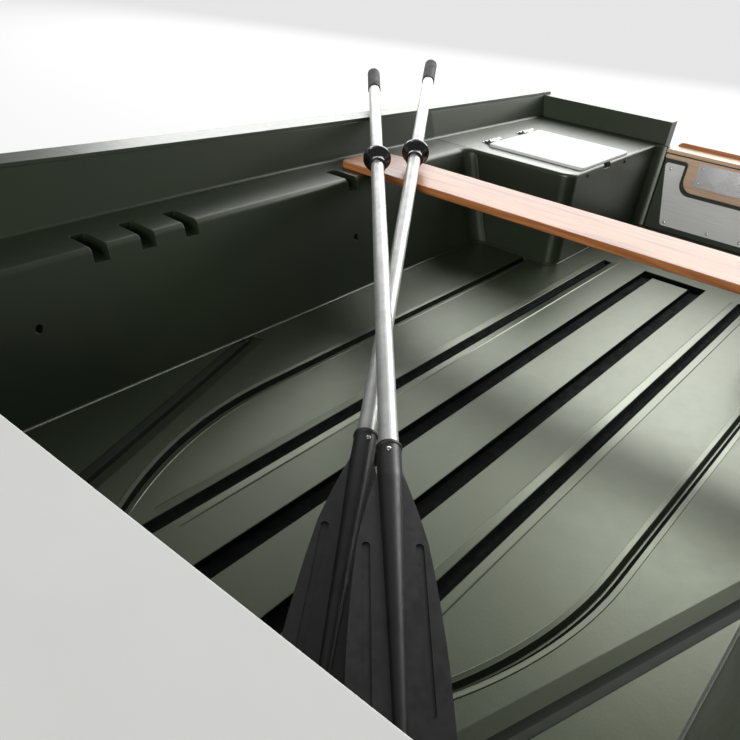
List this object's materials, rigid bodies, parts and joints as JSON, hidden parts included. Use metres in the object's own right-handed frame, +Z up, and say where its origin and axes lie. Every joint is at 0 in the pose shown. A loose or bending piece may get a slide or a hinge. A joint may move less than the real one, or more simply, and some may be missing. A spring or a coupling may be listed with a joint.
{
  "type": "rowing boat",
  "caption": "Open double-skinned rowing boat with a moulded liner, lidded lockers and bench, a wooden thwart, swivelling rowlocks and a pair of oars lying inside.",
  "frame": {"origin": "on the ground, under the middle of the keel's underside, on the centreline", "axes": "+X forward to the bow, +Y to port, +Z up"},
  "size_m": [4.444, 1.8388, 0.6703],
  "materials": {
    "hull": "glossy dark green gelcoat",
    "lid": "satin off-white",
    "rail": "glossy dark green",
    "keel": "matt black-green",
    "wood": "varnished mahogany",
    "padwood": "thin varnish",
    "plate": "brushed",
    "steel": "stainless",
    "cast": "cast, satin",
    "loom": "matt, lightly smudged",
    "black": "black moulded plastic",
    "collar": "black, glossy",
    "grip": "black",
    "brass": "dull"
  },
  "bodies": {
    "hull": {"hull_shell": "hull", "transom": "hull", "floor_pan": "hull", "side_bench_port": "hull", "side_bench_starboard": "hull", "stern_locker_port": "hull", "stern_locker_starboard": "hull", "bow_locker": "hull", "middle_bench": "hull", "thwart": "wood", "gunwale_rail_port": "rail", "gunwale_rail_starboard": "rail", "keel": "keel", "side_keel_port": "keel", "side_keel_starboard": "keel", "stern_hinge_port": "steel", "stern_hinge_starboard": "steel", "bench_hinge": "steel", "bow_hinge": "steel", "transom_plate": "plate", "transom_pad": "padwood", "clamp_plate": "steel", "transom_outer_pad": "wood", "transom_cap": "padwood", "drain_plug": "brass", "bow_eye": "steel", "rowlock_socket_port": "cast", "rowlock_socket_starboard": "cast"},
    "stern_lid_port": {"stern_lid_port": "lid"},
    "stern_lid_starboard": {"stern_lid_starboard": "lid"},
    "bench_lid": {"bench_lid": "lid"},
    "bow_lid": {"bow_lid": "lid"},
    "rowlock_port": {"rowlock_port": "cast"},
    "rowlock_starboard": {"rowlock_starboard": "cast"},
    "lower_oar": {"lower_oar_loom": "loom", "lower_oar_blade": "black", "lower_oar_collar": "collar", "lower_oar_grip": "grip"},
    "upper_oar": {"upper_oar_loom": "loom", "upper_oar_blade": "black", "upper_oar_collar": "collar", "upper_oar_grip": "grip"}
  },
  "joints": [
    {"name": "stern_lid_port_hinge", "type": "hinge", "parent": "hull", "child": "stern_lid_port", "pos_m": [-1.765, 0.614, 0.3883], "axis": [-1, 0, 0], "range_deg": [0, 95]},
    {"name": "stern_lid_starboard_hinge", "type": "hinge", "parent": "hull", "child": "stern_lid_starboard", "pos_m": [-1.765, -0.614, 0.3883], "axis": [1, 0, 0], "range_deg": [0, 95]},
    {"name": "bench_lid_hinge", "type": "hinge", "parent": "hull", "child": "bench_lid", "pos_m": [0.464, 0, 0.3883], "axis": [0, 1, 0], "range_deg": [0, 95]},
    {"name": "bow_lid_hinge", "type": "hinge", "parent": "hull", "child": "bow_lid", "pos_m": [1.542, 0, 0.4763], "axis": [0, 1, 0], "range_deg": [0, 95]},
    {"name": "rowlock_port_swivel", "type": "hinge", "parent": "hull", "child": "rowlock_port", "pos_m": [-0.2, 0.817, 0.50701], "axis": [-0.0438, 0, 0.999], "continuous": true},
    {"name": "rowlock_starboard_swivel", "type": "hinge", "parent": "hull", "child": "rowlock_starboard", "pos_m": [-0.2, -0.817, 0.50701], "axis": [-0.0438, 0, 0.999], "continuous": true},
    {"name": "lower_oar_lift", "type": "slide", "parent": "hull", "child": "lower_oar", "axis": [0, 0, 1], "range_m": [0, 0.25]},
    {"name": "upper_oar_lift", "type": "slide", "parent": "lower_oar", "child": "upper_oar", "axis": [0, 0, 1], "range_m": [0, 0.25]}
  ]
}
